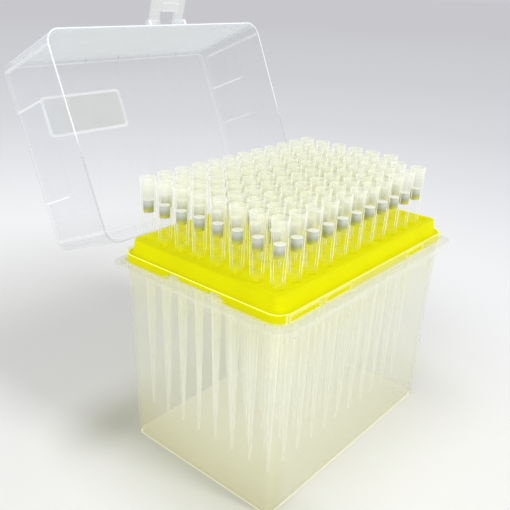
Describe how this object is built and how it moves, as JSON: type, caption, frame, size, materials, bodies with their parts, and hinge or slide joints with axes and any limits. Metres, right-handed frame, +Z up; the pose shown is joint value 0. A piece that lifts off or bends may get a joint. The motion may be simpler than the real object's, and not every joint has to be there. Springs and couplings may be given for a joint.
{
  "type": "box of pipette tips",
  "caption": "Hinged clear box with a coloured rack insert that holds a grid of long filter tips; the lid stands open with its flared front latch.",
  "frame": {"origin": "centre of the base's underside", "axes": "+X along the long side, +Y towards the hinge, +Z up"},
  "size_m": [0.1218, 0.1542, 0.1823],
  "materials": {
    "base_plastic": "milky translucent, satin",
    "rack_plastic": "satin yellow moulding",
    "lid_plastic": "clear, glossy",
    "label_plastic": "frosted, bare",
    "latch_plastic": "clear, glossy",
    "tip_plastic": "clear, glossy",
    "filter_porous": "white porous plug"
  },
  "bodies": {
    "base": {"base_box": "base_plastic", "tip_rack": "rack_plastic", "tips_column_01": "tip_plastic", "tips_column_02": "tip_plastic", "tips_column_03": "tip_plastic", "tips_column_04": "tip_plastic", "tips_column_05": "tip_plastic", "tips_column_06": "tip_plastic", "tips_column_07": "tip_plastic", "tips_column_08": "tip_plastic", "tips_column_09": "tip_plastic", "tips_column_10": "tip_plastic", "tips_column_11": "tip_plastic", "tips_column_12": "tip_plastic", "filters_column_01": "filter_porous", "filters_column_02": "filter_porous", "filters_column_03": "filter_porous", "filters_column_04": "filter_porous", "filters_column_05": "filter_porous", "filters_column_06": "filter_porous", "filters_column_07": "filter_porous", "filters_column_08": "filter_porous", "filters_column_09": "filter_porous", "filters_column_10": "filter_porous", "filters_column_11": "filter_porous", "filters_column_12": "filter_porous"},
    "lid": {"lid": "lid_plastic", "label_plate": "label_plastic"},
    "latch": {"latch": "latch_plastic"}
  },
  "joints": [
    {"name": "lid_hinge", "type": "hinge", "parent": "base", "child": "lid", "pos_m": [0, 0.04435, 0.0828], "axis": [1, 0, 0], "range_deg": [0, 112.7]},
    {"name": "latch_hinge", "type": "hinge", "parent": "lid", "child": "latch", "pos_m": [0.0022, 0.07724, 0.16416], "axis": [1, 0, 0], "range_deg": [-70, 52]}
  ]
}
